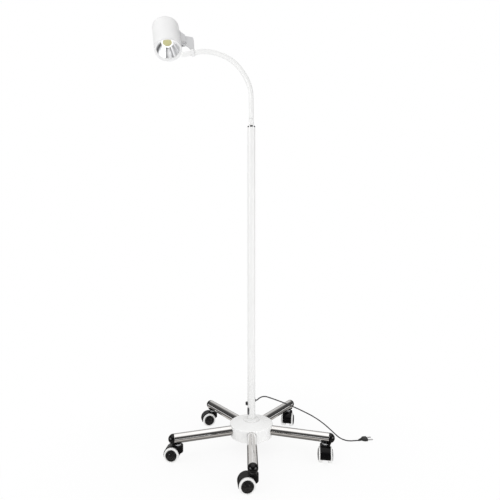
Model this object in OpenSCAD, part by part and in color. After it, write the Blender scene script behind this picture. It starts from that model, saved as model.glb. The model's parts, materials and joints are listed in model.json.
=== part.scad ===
// Mobile examination lamp: five-leg star base on twin-wheel castors, white pole, flexible neck
// and a tilting spot head. Millimetres. The origin is on the pole axis at the hub's underside,
// +Z is up, the user stands on the -Y side and the head hangs over the -X side.

/* [Base] */
// Height of the hub's underside above the floor
hub_clearance = 50; // [50:1:50]
// Distance from the pole axis to the open end of a leg tube
leg_reach = 276; // [260:1:300]
// Outside diameter of a leg tube
leg_d = 32; // [30:1:32]
// Wall of a leg tube
leg_wall = 1.5; // [1.2:0.1:2]
// Height of the leg axes above the hub's underside
leg_z = 25; // [25:1:26]
// Small turn of the whole star about the pole
star_turn = 0.75; // [-5:0.25:5]
// Largest radius of the hub cover
hub_r = 76.5; // [74:0.5:85]
// Height of the hub cover's rim
hub_rim_h = 44; // [44:1:48]
// Height of the hub cover at its flat centre
hub_top_h = 53; // [50:1:56]
// Wall of the hub cover
hub_wall = 2; // [1.5:0.1:2]

/* [Castors] */
// Diameter of a castor wheel
wheel_d = 50; // [50:1:50]
// Distance from a castor's swivel axis to its axle
castor_trail = 18; // [16:1:20]
// Width of the castor hood
hood_w = 35; // [33:1:36]
// Distance from the pole axis to the swivel axes
stem_reach = 262; // [250:1:264]
// Compass heading of each castor's trail at rest, front leg first
castor_heading = [187, 262, 258, 196, 175];

/* [Mast] */
// Outside diameter of the pole
pole_d = 28; // [28:1:30]
// Wall of the pole
pole_wall = 1.5; // [1:0.1:2]
// Height of the top of the pole
pole_top = 1098; // [900:1:1200]
// Radius of the flange round the foot of the pole
flange_r = 28; // [24:1:30]
// Across flats of the neck's lock nut
nut_af = 24; // [22:1:24]
// Height of the dimmer knob
knob_z = 112; // [105:1:130]
// Height of the rocker switch
switch_z = 87; // [80:1:90]
// Height at which the mains cord leaves the pole
cord_z = 121.5; // [115:0.5:125]
// Diameter of the mains cord
cord_d = 4.2; // [3.8:0.2:5]

/* [Flexible neck] */
// Outside diameter of the neck
neck_d = 17; // [16:0.5:17]
// Distance between neighbouring bending points
neck_pitch = 60; // [50:1:65]
// Turn of each length of neck at rest, from the pole to the head
neck_turn = [2, 24, 16, 24, 17, 17];
// Straight length between the pole's nut and the first bending point
neck_foot = 48; // [40:1:60]

/* [Head] */
// Outside diameter of the lamp head
head_d = 98.6; // [95:0.2:100]
// Length of the lamp head
head_l = 116; // [112:1:125]
// Distance from the neck's end tube to the plane of the lamp's front
head_drop = 31; // [28:1:34]
// Distance from the bracket's collar to the head's axis, along the end tube
head_offset = 86.3; // [85:0.1:88]
// Turn of the bracket about the end tube at rest
head_roll = 21.2; // [0:0.2:30]
// Visible opening of the reflector
reflector_d = 83.2; // [80:0.2:84]
// Depth from the lamp's front to the light source
source_depth = 41; // [38:1:46]

/* [Hidden] */
$fn = 96;
fine = 0.02;
run_gap = 0.05;
dome_fn = 44;
legs = 5;
leg_step = 360 / legs;
floor_z = -hub_clearance;

WHITE = "#f2f2f0";
STEEL = "#c9c9c6";
BLACK = "#17181a";
CHROME = "#b4b6b8";
LIGHT_GREY = "#d6d7d9";
IRON = "#55585a";
DARK_GREY = "#3a3c3e";
PALE_YELLOW = "#efe9c8";

leg_r = leg_d / 2;
leg_bore_r = leg_r - leg_wall;
leg_root = 32;
core_r = 58;
core_z0 = 4;
core_z1 = 34;
cover_land_r = 30;
plate_r = 70;
plate_t = 4;
screw_ring_r = 48;
screw_r = 2.5;
screw_head_r = 4.5;
screw_head_h = 2;
screw_l = 14;
screw_sunk = 0.4;
screw_key_r = 1.8;
screw_key_h = 1.8;
seat_depth = 2.5;

wheel_r = wheel_d / 2;
axle_z = floor_z + wheel_r;
axle_r = 3;
axle_l = 40;
stem_r = 4.5;
stem_foot_z = axle_z + 6;
stem_top_z = leg_z + 6;
stem_end_gap = 0.3;
hood_gap = 0.7;
hood_wall = 1.7;
hood_r = wheel_r + hood_gap + hood_wall;
hood_top_z = axle_z + hood_r;
hood_back_z = axle_z - 7;
hood_front_z = axle_z + 4;
web_half = 8;
wheel_in = 8.5;
tread_out = 22.5;
wheel_out = 26;
wheel_disc_r = 19;
tread_round = 2.5;
washer_r = 9.5;
washer_z0 = hood_top_z + 0.1;
washer_z1 = hood_top_z + 4;
saddle_half = 8.5;
dome_collar = 2.5;

pole_r = pole_d / 2;
pole_bore_r = pole_r - pole_wall;
pole_foot_z = 8;
flange_z0 = hub_top_h + run_gap;
stud_r = 8;
nut_h = 6;
bush_l = 30;
knob_heading = 190;
switch_heading = 221;
knob_r = 6.5;
knob_l = 6;
shaft_r = 3;
shaft_z0 = 7;
neck_hole_r = 3.5;
switch_w = 7;
switch_h = 21;
rocker_rest = -6;
rocker_pivot_x = 12.5;
rocker_pin_r = 1.2;
rocker_pin_l = 6.2;
rocker_w = 5.2;
grommet_r = 4.5;
grommet_h = 2.4;
plug_pin_r = 2;
plug_pin_l = 19;
plug_pin_gap = 18.6;
cord_r = cord_d / 2;
cord_heading = 8.2;

neck_r = neck_d / 2;
ball_r = neck_r - 0.2;
socket_r = neck_r + 0.5;
joints = len(neck_turn);
neck_z0 = pole_top + nut_h;
neck_end_arc = 36;
end_tube_r = 7.6;
collar_at = 19.5;
collar_half = 5.5;
collar_r = 12.5;
stub_l = 41;
stub_r = 8.4;
sleeve_overrun = 8;
stop_ring_r = 9.8;

head_r = head_d / 2;
head_wall = 2;
fin_half = 5.5;
slot_half = 2.7;
arm_half = 2.5;
pivot = [-26.5, 51.5];
pivot_r = 8.5;
pivot_pin_r = 3;
ring_h = 3.4;
ring_gap = 0.8;
cover_h = 5.6;
reflector_wall = 1.2;
source_r = 22.6;
holder_bore_r = 14.9;
holder_r = 22.2;
sink_gap = 3.4;
led_r = 14.5;
phosphor_r = 7.4;

// ---- shared helpers ----

// Points of an arc in the plane, from angle a0 to a1
function arc(centre, r, a0, a1, steps = 8) =
  [for (i = [0:steps]) centre + r * [cos(a0 + (a1 - a0) * i / steps), sin(a0 + (a1 - a0) * i / steps)]];

// End point of a bent length that starts upwards and leans towards -X
function bend_end(l, turn) =
  turn == 0 ? [0, l] : let (r = l * 180 / (PI * turn)) [-r * (1 - cos(turn)), r * sin(turn)];

function turned(p, a) = [p[0] * cos(a) - p[1] * sin(a), p[0] * sin(a) + p[1] * cos(a)];

function part_sum(list, n) = n <= 0 ? 0 : list[n - 1] + part_sum(list, n - 1);

// Round bar bent in the XZ plane by a turn over its length
module bent_bar(l, turn, r) {
  bend_r = turn == 0 ? 0 : l * 180 / (PI * abs(turn));
  if (turn == 0) cylinder(h = l, r = r);
  else
    mirror([turn < 0 ? 1 : 0, 0, 0])
      translate([-bend_r, 0, 0])
        rotate([90, 0, 0])
          rotate_extrude(angle = abs(turn)) translate([bend_r, 0]) circle(r = r);
}

module leg_frame(k) {
  rotate([0, 0, 270 + leg_step * k + star_turn]) children();
}

// Frame on a castor's swivel axis: +X along the trail, +Y along the axle
module castor_frame(k) {
  heading = 270 + leg_step * k + star_turn;
  leg_frame(k)
    translate([stem_reach, 0, 0])
      rotate([0, 0, castor_heading[k] - heading]) children();
}

// Frame with +X pointing out of the pole at a height and a heading
module pole_side(z, heading) {
  translate([0, 0, z]) rotate([0, 0, heading]) children();
}

// ---- hub ----

module hub_cover() {
  edge_r = 4;
  draft = 3.5;
  inner_r = hub_r - hub_wall;
  outer = concat(
    [[hub_r - draft, 0]],
    arc([hub_r - edge_r, hub_rim_h - edge_r], edge_r, 0, 80),
    [[cover_land_r, hub_top_h], [pole_r + 0.3, hub_top_h]]
  );
  inner = [
    [pole_r + 0.3, hub_top_h - hub_wall],
    [cover_land_r, hub_top_h - hub_wall],
    [inner_r - 2, hub_rim_h - hub_wall - 0.4],
    [inner_r, hub_rim_h - edge_r],
    [hub_r - draft - hub_wall, 0]
  ];
  color(WHITE)
    difference() {
      rotate_extrude() polygon(concat(outer, inner));
      for (k = [0:legs - 1])
        leg_frame(k)
          translate([core_r, 0, leg_z]) rotate([0, 90, 0]) cylinder(h = hub_r, r = leg_r + 0.3);
    }
}

module hub_core() {
  color(IRON)
    difference() {
      translate([0, 0, core_z0]) cylinder(h = core_z1 - core_z0, r = core_r);
      translate([0, 0, pole_foot_z]) cylinder(h = core_z1, r = pole_r + fine);
      for (k = [0:legs - 1]) leg_frame(k) {
        translate([leg_root, 0, leg_z]) rotate([0, 90, 0]) cylinder(h = core_r, r = leg_r + fine);
        rotate([0, 0, leg_step / 2])
          translate([screw_ring_r, 0, core_z0 - 1]) cylinder(h = screw_l, r = screw_r + fine);
      }
    }
}

module hub_base_plate() {
  color(STEEL)
    difference() {
      cylinder(h = plate_t - run_gap, r = plate_r);
      for (k = [0:legs - 1])
        leg_frame(k) rotate([0, 0, leg_step / 2]) translate([screw_ring_r, 0, 0]) {
          translate([0, 0, -1]) cylinder(h = plate_t + 2, r = screw_r + 0.2);
          translate([0, 0, -1]) cylinder(h = seat_depth + 1, r = screw_head_r + 0.3);
        }
    }
}

module hub_screws() {
  color(STEEL)
    for (k = [0:legs - 1])
      leg_frame(k) rotate([0, 0, leg_step / 2]) translate([screw_ring_r, 0, 0])
        difference() {
          union() {
            translate([0, 0, screw_sunk]) cylinder(h = screw_head_h, r = screw_head_r);
            translate([0, 0, 1]) cylinder(h = screw_l, r = screw_r);
          }
          cylinder(h = screw_key_h, r = screw_key_r, $fn = 6);
        }
}

// ---- legs ----

module leg(k) {
  color(STEEL)
    leg_frame(k)
      difference() {
        translate([leg_root + 0.5, 0, leg_z])
          rotate([0, 90, 0]) cylinder(h = leg_reach - leg_root - 0.5, r = leg_r);
        translate([leg_root, 0, leg_z])
          rotate([0, 90, 0]) cylinder(h = leg_reach, r = leg_bore_r);
        translate([stem_reach, 0, leg_z - leg_r - 1]) cylinder(h = leg_r, r = stem_r + 0.3);
      }
}

// Domed end plug with a saddle under the tube that carries the castor stem
module leg_cap(k) {
  plug_l = 34;
  saddle_z0 = washer_z1 + run_gap;
  color(BLACK)
    leg_frame(k)
      difference() {
        union() {
          translate([leg_reach - plug_l, 0, leg_z])
            rotate([0, 90, 0]) cylinder(h = plug_l + 2, r = leg_bore_r - fine);
          translate([leg_reach + fine, 0, leg_z])
            rotate([0, 90, 0]) rotate_extrude($fn = 64)
              polygon(concat([[0, 0], [leg_r, 0]], arc([0, dome_collar], leg_r, 0, 90, 12)));
          difference() {
            translate([stem_reach, 0, saddle_z0]) {
              cylinder(h = leg_z - saddle_z0 - 4, r = saddle_half);
              translate([0, -saddle_half, 0])
                cube([leg_reach - stem_reach + 6, 2 * saddle_half, leg_z - saddle_z0 - 4]);
            }
            translate([leg_root, 0, leg_z])
              rotate([0, 90, 0]) cylinder(h = leg_reach - leg_root + fine, r = leg_r + fine);
          }
        }
        translate([stem_reach, 0, saddle_z0 - 1])
          cylinder(h = stem_top_z - saddle_z0 + 1.1, r = stem_r + fine);
      }
}

module leg_caps() {
  for (k = [0:legs - 1]) leg_cap(k);
}

// ---- castors ----

module castor_stems() {
  color(STEEL)
    for (k = [0:legs - 1])
      castor_frame(k) translate([0, 0, stem_foot_z]) cylinder(h = stem_top_z - stem_foot_z, r = stem_r);
}

module castor_washers() {
  color(LIGHT_GREY)
    for (k = [0:legs - 1])
      castor_frame(k)
        translate([0, 0, washer_z0])
          difference() {
            cylinder(h = washer_z1 - washer_z0, r = washer_r);
            translate([0, 0, -1]) cylinder(h = washer_z1 - washer_z0 + 2, r = stem_r + 0.1);
          }
}

module along_axle(l, r) {
  rotate([90, 0, 0]) cylinder(h = l, r = r, center = true);
}

// Arched hood over both wheels, with a round nose about the swivel and a web that holds the axle
module castor_hood(k) {
  nose_r = hood_w / 2;
  cavity_r = wheel_r + hood_gap;
  deep = 2 * hood_r;
  web_drop = 4;
  axle_boss_r = 9;
  color(BLACK)
    castor_frame(k)
      difference() {
        union() {
          difference() {
            translate([castor_trail, 0, axle_z]) along_axle(hood_w, hood_r);
            translate([castor_trail, -hood_w, hood_back_z - deep]) cube([deep, 2 * hood_w, deep]);
            translate([castor_trail - deep, -hood_w, hood_front_z - deep]) cube([deep, 2 * hood_w, deep]);
          }
          intersection() {
            translate([0, 0, hood_front_z]) cylinder(h = hood_top_z - hood_front_z, r = nose_r);
            translate([-nose_r, -nose_r, hood_front_z]) cube([castor_trail + nose_r, hood_w, deep]);
          }
          translate([castor_trail, 0, axle_z]) along_axle(2 * web_half, axle_boss_r);
          translate([-web_half, -web_half, axle_z - web_drop])
            cube([castor_trail + web_half, 2 * web_half, wheel_r]);
        }
        for (side = [-1, 1])
          translate([castor_trail, side * (web_half + nose_r), axle_z]) along_axle(2 * nose_r, cavity_r);
        translate([0, 0, stem_foot_z - stem_end_gap]) cylinder(h = deep, r = stem_r + run_gap);
        translate([castor_trail, 0, axle_z]) along_axle(hood_w, axle_r + fine);
      }
}

module castor_axle(k) {
  color(STEEL) castor_frame(k) translate([castor_trail, 0, axle_z]) along_axle(axle_l, axle_r);
}

// Wheel profile, radius against distance from the castor's middle plane
function wheel_profile() = concat(
  [[axle_r + run_gap, wheel_in], [wheel_disc_r - 3, wheel_in]],
  [[wheel_r - 1, wheel_in]],
  arc([wheel_r - 1, wheel_in + 1], 1, 270, 360, 4),
  arc([wheel_r - tread_round, tread_out - tread_round], tread_round, 0, 90, 6),
  [[wheel_disc_r, tread_out], [wheel_disc_r, tread_out + 1.5]],
  [[wheel_disc_r - 2.5, wheel_out - 1.2], [wheel_disc_r - 8, wheel_out]],
  [[0, wheel_out], [0, axle_l / 2 + 0.3], [axle_r + run_gap, axle_l / 2 + 0.3]]
);

module castor_wheel(k, side) {
  color(BLACK)
    castor_frame(k)
      translate([castor_trail, 0, axle_z])
        rotate([-90 * side, 0, 0])
          rotate_extrude() polygon(wheel_profile());
}

// ---- mast ----

module pole() {
  color(WHITE)
    difference() {
      translate([0, 0, pole_foot_z + fine]) cylinder(h = pole_top - pole_foot_z - fine, r = pole_r);
      translate([0, 0, pole_foot_z - 1]) cylinder(h = pole_top, r = pole_bore_r);
      pole_side(knob_z, knob_heading) rotate([0, 90, 0]) cylinder(h = pole_d, r = neck_hole_r + 0.1);
      pole_side(switch_z, switch_heading)
        translate([5, -switch_w / 2 - 0.1, -switch_h / 2 - 0.2])
          cube([pole_d, switch_w + 0.2, switch_h + 0.4]);
      pole_side(cord_z, cord_heading) rotate([0, 90, 0]) cylinder(h = pole_d, r = neck_hole_r);
    }
}

module pole_flange() {
  wall_h = 4.5;
  outline = concat(
    [[pole_r + 0.1, flange_z0], [flange_r, flange_z0]],
    arc([flange_r - 2, flange_z0 + wall_h - 1], 2, 0, 75, 5),
    [[pole_r + 5, flange_z0 + wall_h + 2.5], [pole_r + 0.1, flange_z0 + wall_h + 3]]
  );
  color(WHITE) rotate_extrude() polygon(outline);
}

module pole_top_bush() {
  color(STEEL)
    difference() {
      translate([0, 0, pole_top - bush_l]) cylinder(h = bush_l, r = pole_bore_r - fine);
      translate([0, 0, pole_top - bush_l - 1]) cylinder(h = bush_l + 2, r = stud_r + fine);
    }
}

module neck_lock_nut() {
  color(CHROME)
    translate([0, 0, pole_top + fine])
      difference() {
        intersection() {
          cylinder(h = nut_h - 2 * fine, r = nut_af / sqrt(3), $fn = 6);
          cylinder(h = nut_h - 2 * fine, r = nut_af / sqrt(3) - 0.4);
        }
        translate([0, 0, -1]) cylinder(h = nut_h + 2, r = stud_r + fine);
      }
}

// ---- controls and cord ----

module dimmer_knob() {
  back = pole_r + 0.5;
  grip_count = 14;
  grip_r = 0.7;
  pointer_w = 1.2;
  recess_r = 4;
  color(BLACK)
    pole_side(knob_z, knob_heading)
      rotate([0, 90, 0])
        difference() {
          union() {
            translate([0, 0, back]) cylinder(h = knob_l - 1, r = knob_r);
            translate([0, 0, back + 1]) cylinder(h = knob_l - 1, r = knob_r - 1);
            translate([0, 0, shaft_z0]) cylinder(h = back - 5, r = shaft_r);
            translate([-pointer_w / 2, 0, back + knob_l - 0.5]) cube([pointer_w, knob_r - 1.5, 1]);
          }
          difference() {
            translate([0, 0, back - 1]) cylinder(h = 2.6, r = recess_r);
            cylinder(h = pole_d, r = shaft_r);
          }
          for (i = [0:grip_count - 1])
            rotate([0, 0, (i + 0.5) * 360 / grip_count])
              translate([knob_r + 0.25, 0, back - 1]) cylinder(h = knob_l + 2, r = grip_r);
        }
}

module dimmer_control() {
  block = 15;
  block_t = 7.5;
  block_x0 = 1.5;
  color(DARK_GREY)
    pole_side(knob_z, knob_heading)
      rotate([0, 90, 0])
        difference() {
          union() {
            translate([-block / 2, -block / 2, block_x0]) cube([block, block, block_t]);
            cylinder(h = pole_r + 1.2, r = neck_hole_r);
          }
          translate([0, 0, shaft_z0 - 0.5]) cylinder(h = pole_d, r = shaft_r + run_gap);
        }
}

module switch_frame() {
  plate_x0 = pole_r + 0.05;
  plate_half_w = 4.2;
  plate_half_h = 12.5;
  plate_t = 1.2;
  opening_x0 = 8;
  opening_w = 5.6;
  opening_h = 18.6;
  color(BLACK)
    pole_side(switch_z, switch_heading)
      difference() {
        union() {
          translate([5.5, -switch_w / 2, -switch_h / 2]) cube([plate_x0 - 5, switch_w, switch_h]);
          translate([plate_x0, -plate_half_w, -plate_half_h + plate_half_w])
            cube([plate_t, 2 * plate_half_w, 2 * (plate_half_h - plate_half_w)]);
          for (end = [-1, 1])
            translate([plate_x0, 0, end * (plate_half_h - plate_half_w)])
              rotate([0, 90, 0]) cylinder(h = plate_t, r = plate_half_w);
        }
        translate([opening_x0, -opening_w / 2, -opening_h / 2]) cube([pole_d, opening_w, opening_h]);
        translate([rocker_pivot_x, 0, 0])
          rotate([90, 0, 0]) cylinder(h = rocker_pin_l + 0.2, r = rocker_pin_r + run_gap, center = true);
      }
}

module switch_rocker() {
  outline = [[-2, -6], [2.9, -8.8], [2, 0], [2.9, 8.8], [-2, 6]];
  color(BLACK)
    pole_side(switch_z, switch_heading)
      translate([rocker_pivot_x, 0, 0])
        rotate([0, rocker_rest, 0])
          rotate([90, 0, 0]) {
            linear_extrude(height = rocker_w, center = true) polygon(outline);
            cylinder(h = rocker_pin_l, r = rocker_pin_r, center = true);
          }
}

module cord_grommet() {
  color(BLACK)
    pole_side(cord_z, cord_heading)
      rotate([0, 90, 0])
        difference() {
          union() {
            translate([0, 0, pole_bore_r - 2]) cylinder(h = 4, r = neck_hole_r - 0.1);
            translate([0, 0, pole_r + run_gap]) cylinder(h = grommet_h, r = grommet_r);
          }
          cylinder(h = pole_d, r = cord_r + 0.04);
        }
}

// Lengths of the cord from the pole outwards, each with its turn (positive bends downwards)
cord_out = [[9, 0], [6.6, -44.1], [37.5, 64.2], [167.4, 8.8], [97.8, 14.7]];
cord_slope = part_sum([for (run = cord_out) run[1]], len(cord_out));
cord_x0 = 8;

// End of a cord run in the cord's own plane, as distance from the pole and height
function cord_point(n) =
  n <= 0 ? [cord_x0, cord_z]
  : let (before = part_sum([for (run = cord_out) run[1]], n - 1),
         e = bend_end(cord_out[n - 1][0], cord_out[n - 1][1]))
    cord_point(n - 1) + turned([e[1], e[0]], -before);

landing_l = 65.8;
landing_straight = 24;
landing_r = landing_l * 180 / (PI * cord_slope);
drop_left = cord_point(len(cord_out))[1] - (floor_z + cord_r + 0.1) - landing_r * (1 - cos(cord_slope));
cord_runs = concat(
  cord_out,
  [[drop_left / sin(cord_slope), 0], [landing_l, -cord_slope], [landing_straight, 0]]
);
cord_end_x = cord_point(len(cord_out))[0] + drop_left / tan(cord_slope) + landing_r * sin(cord_slope)
  + landing_straight;

module cord_run(n) {
  bent_bar(cord_runs[n][0], cord_runs[n][1], cord_r);
  if (n + 1 < len(cord_runs)) {
    e = bend_end(cord_runs[n][0], cord_runs[n][1]);
    translate([e[0], 0, e[1]]) rotate([0, -cord_runs[n][1], 0]) {
      sphere(r = cord_r + 0.05, $fn = dome_fn);
      cord_run(n + 1);
    }
  }
}

module mains_cord() {
  color(DARK_GREY)
    rotate([0, 0, cord_heading])
      translate([cord_x0, 0, cord_z])
        rotate([0, 0, 180]) rotate([0, -90, 0]) cord_run(0);
}

// Flat two-pin plug lying on the floor at the end of the cord
module mains_plug() {
  body_l = 34;
  body_h = 13;
  body_w = 26;
  sleeve_r = 5;
  sleeve_x = 6;
  shoulder_x = 14;
  color(DARK_GREY)
    rotate([0, 0, cord_heading])
      translate([cord_end_x, 0, floor_z])
        difference() {
          union() {
            translate([sleeve_x, 0, 0]) cylinder(h = body_h, r = sleeve_r);
            translate([sleeve_x, -sleeve_r, 0]) cube([body_l - sleeve_x, 2 * sleeve_r, body_h]);
            translate([shoulder_x, -body_w / 2, 0]) cube([body_l - shoulder_x, body_w, body_h]);
            for (side = [-1, 1])
              translate([body_l - 1, side * plug_pin_gap / 2, body_h / 2])
                rotate([0, 90, 0]) cylinder(h = plug_pin_l + 1, r = plug_pin_r);
          }
          translate([-1, 0, cord_r + 0.1]) rotate([0, 90, 0]) cylinder(h = 5, r = cord_r + fine);
        }
}

// ---- flexible neck ----

function neck_heading(i) = part_sum(neck_turn, i);

// Bending point i in the XZ plane, counted from the pole
function neck_point(i) =
  i <= 0 ? [0, neck_z0 + neck_foot]
  : neck_point(i - 1) + turned(bend_end(neck_pitch, neck_turn[i - 1]), neck_heading(i - 1));

module neck_frame(i) {
  p = neck_point(i);
  translate([p[0], 0, p[1]]) rotate([0, -neck_heading(i), 0]) children();
}

module neck_socket(i) {
  neck_frame(i) sphere(r = socket_r);
}

module neck_base() {
  ferrule_h = 25;
  rings = 3;
  ring_pitch = 7.2;
  ring_r = 9.3;
  groove_r = 1.7;
  color(WHITE)
    difference() {
      union() {
        translate([0, 0, pole_top - bush_l + 4]) cylinder(h = bush_l + nut_h, r = stud_r);
        translate([0, 0, neck_z0]) cylinder(h = neck_foot, r = neck_r);
        translate([0, 0, neck_z0]) cylinder(h = ferrule_h, r = ring_r);
      }
      for (i = [0:rings - 1])
        translate([0, 0, neck_z0 + ring_pitch * (i + 0.6)])
          rotate_extrude() translate([ring_r + 0.9, 0]) circle(r = groove_r, $fn = 24);
      neck_socket(0);
    }
}

module neck_link(i) {
  color(WHITE)
    difference() {
      neck_frame(i - 1) {
        sphere(r = ball_r);
        bent_bar(neck_pitch, neck_turn[i - 1], neck_r);
      }
      neck_socket(i);
    }
}

// Frame at the end of the bent part of the end tube, +Z along the tube
module tube_frame() {
  last = joints - 1;
  e = bend_end(neck_end_arc, neck_turn[last]);
  neck_frame(last) translate([e[0], 0, e[1]]) rotate([0, -neck_turn[last], 0]) children();
}

module neck_end_tube() {
  last = joints - 1;
  collar_end = collar_at + collar_half;
  color(WHITE) {
    neck_frame(last) {
      sphere(r = ball_r);
      bent_bar(neck_end_arc, neck_turn[last], neck_r);
    }
    tube_frame() {
      translate([0, 0, -1]) cylinder(h = sleeve_overrun + 1, r = neck_r + 0.1);
      translate([0, 0, 1]) cylinder(h = collar_end + 1, r = end_tube_r);
      translate([0, 0, sleeve_overrun])
        cylinder(h = collar_at - collar_half - sleeve_overrun - 0.3, r = stop_ring_r);
      translate([0, 0, collar_end + 0.3]) cylinder(h = stub_l - collar_half - 1.3, r = stub_r);
      translate([0, 0, collar_at + stub_l - 1]) cylinder(h = 1, r1 = stub_r, r2 = stub_r - 1);
    }
  }
}

// ---- bracket and head ----

// Frame at the collar's centre: +X back along the end tube, +Z towards the rear of the head
module bracket_frame() {
  tube_frame()
    translate([0, 0, collar_at])
      rotate([0, 90, 0]) rotate([-head_roll, 0, 0]) children();
}

// Frame at the centre of the lamp's front, +Z towards the rear of the head
module head_frame() {
  bracket_frame() translate([-head_offset, 0, head_drop]) children();
}

pivot_in_head = pivot + [head_offset, -head_drop];

// Extrusion of a side-view outline, centred on the bracket's plane
module side_plate(half) {
  rotate([90, 0, 0]) linear_extrude(height = 2 * half, center = true) children();
}

module lamp_bracket() {
  eye_r = 8;
  back_edge = [
    [4.8, 4], [5.3, 10], [7, 15], [8.4, 36], [10.2, 63], [9.8, 68],
    [8.2, 72.2], [5, 75], [-1, 77.2], [-9, 81], [-17, 85]
  ];
  inner_edge = [
    [-20, 76], [-24, 66], pivot, [-26.5, 43.5], [-21, 40.5],
    [-16, 35.5], [-11.4, 28.5], [-8, 20.5], [-6.3, 15], [-5.3, 10], [-4.8, 4]
  ];
  color(LIGHT_GREY)
    bracket_frame()
      difference() {
        union() {
          side_plate(arm_half) polygon(concat(back_edge, inner_edge));
          translate([pivot[0], 0, pivot[1]])
            rotate([90, 0, 0]) cylinder(h = 2 * arm_half, r = eye_r, center = true);
          rotate([0, 90, 0]) cylinder(h = 2 * collar_half, r = collar_r, center = true);
        }
        rotate([0, 90, 0]) cylinder(h = 3 * collar_half, r = end_tube_r + run_gap, center = true);
        translate([pivot[0], 0, pivot[1]])
          rotate([90, 0, 0]) cylinder(h = 4 * arm_half, r = pivot_pin_r + run_gap, center = true);
      }
}

module pivot_screw() {
  head_h = 2.4;
  cap_r = 6;
  back_nut_h = 3.2;
  back_nut_r = 5.2;
  key_r = 2.3;
  color(STEEL)
    head_frame()
      translate([pivot_in_head[0], 0, pivot_in_head[1]])
        rotate([90, 0, 0])
          difference() {
            union() {
              cylinder(h = 2 * fin_half + 2, r = pivot_pin_r, center = true);
              translate([0, 0, fin_half + fine]) cylinder(h = head_h, r = cap_r);
              translate([0, 0, -fin_half - back_nut_h - fine])
                cylinder(h = back_nut_h, r = back_nut_r, $fn = 6);
            }
            translate([0, 0, fin_half + 1]) cylinder(h = 2 * head_h, r = key_r, $fn = 6);
          }
}

module lamp_housing() {
  z0 = ring_h + ring_gap;
  z1 = head_l - cover_h - 0.3;
  slot_x = head_r + 1;
  fin = concat(
    [[head_r - 2, 12], [pivot_in_head[0] - 4, 12]],
    arc(pivot_in_head, pivot_r, 270, 360, 6),
    [[pivot_in_head[0] + pivot_r, 55], [pivot_in_head[0] + pivot_r - 1.2, 58.5]],
    [[65, 61], [60, 66.5], [55.5, 73], [52, 79.5], [49.5, 86], [head_r - 2, 88]]
  );
  color(WHITE)
    head_frame()
      difference() {
        union() {
          translate([0, 0, z0]) cylinder(h = z1 - z0, r = head_r);
          side_plate(fin_half) polygon(fin);
        }
        translate([0, 0, z0 - 1]) cylinder(h = head_l, r = head_r - head_wall);
        translate([slot_x, -slot_half, 0]) cube([head_r, 2 * slot_half, head_l]);
        translate([pivot_in_head[0], 0, pivot_in_head[1]])
          rotate([90, 0, 0]) cylinder(h = 4 * fin_half, r = pivot_pin_r + fine, center = true);
      }
}

module rear_cover() {
  z0 = head_l - cover_h;
  edge_r = 4;
  skirt_r = head_r - head_wall - fine;
  vents = 12;
  vent_ring_r = 30;
  vent_r = 2.2;
  plate = 2.4;
  skirt_l = 7;
  skirt_t = 1.6;
  profile = concat(
    [[0, head_l], [0, head_l - plate], [skirt_r - skirt_t, head_l - plate]],
    [[skirt_r - skirt_t, z0 - skirt_l], [skirt_r, z0 - skirt_l], [skirt_r, z0], [head_r, z0]],
    arc([head_r - edge_r, head_l - edge_r], edge_r, 0, 90, 6)
  );
  color(WHITE)
    head_frame()
      difference() {
        rotate_extrude() polygon(profile);
        for (i = [0:vents - 1])
          rotate([0, 0, i * 360 / vents])
            translate([vent_ring_r, 0, head_l - 2 * plate]) cylinder(h = 3 * plate, r = vent_r);
      }
}

module heat_sink() {
  base_z = source_depth + sink_gap;
  base_t = 6;
  fins = 11;
  fin_gap = 8;
  fin_t = 1.8;
  fin_top = head_l - cover_h - 10;
  color(IRON)
    head_frame()
      intersection() {
        translate([0, 0, base_z]) cylinder(h = head_l, r = head_r - head_wall - 0.4);
        union() {
          translate([0, 0, base_z]) cylinder(h = base_t, r = head_r);
          for (i = [0:fins - 1])
            translate([-head_r, (i - (fins - 1) / 2) * fin_gap - fin_t / 2, base_z])
              cube([head_d, fin_t, fin_top - base_z]);
        }
      }
}

// White ring that clamps the light source to the heat sink
module led_holder() {
  lip_r = 1.5;
  foot_z = source_depth + sink_gap - run_gap;
  profile = concat(
    [[holder_bore_r, foot_z], [holder_bore_r, source_depth - 1]],
    arc([holder_r - lip_r, source_depth - 1.2], lip_r, 150, 0, 5),
    [[holder_r, foot_z]]
  );
  color(WHITE) head_frame() rotate_extrude() polygon(profile);
}

module led_module() {
  board_z = source_depth + 1;
  dome_rise = 0.6;
  color(PALE_YELLOW)
    head_frame() {
      translate([0, 0, board_z]) cylinder(h = source_depth + sink_gap - run_gap - board_z, r = led_r);
      translate([0, 0, board_z - dome_rise]) cylinder(h = 2 * dome_rise, r = phosphor_r);
    }
}

// Bowl whose wall follows a parabola from the light source to the opening
module reflector() {
  z_front = 8.4;
  z_back = source_depth - 1;
  rim_w = 4;
  front_r = reflector_d / 2;
  steps = 20;
  slope = (front_r * front_r - source_r * source_r) / (z_back - z_front);
  function bowl_r(z) = sqrt(source_r * source_r + slope * (z_back - z));
  function bowl(offset) = [
    for (i = [0:steps]) let (z = z_front + (z_back - z_front) * i / steps) [bowl_r(z) + offset, z]
  ];
  back_wall = bowl(reflector_wall);
  color(CHROME)
    head_frame()
      rotate_extrude() polygon(concat(
        bowl(0),
        [for (i = [0:steps]) back_wall[steps - i]],
        [[front_r + rim_w, z_front + 1], [front_r + rim_w, z_front]]
      ));
}

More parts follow.
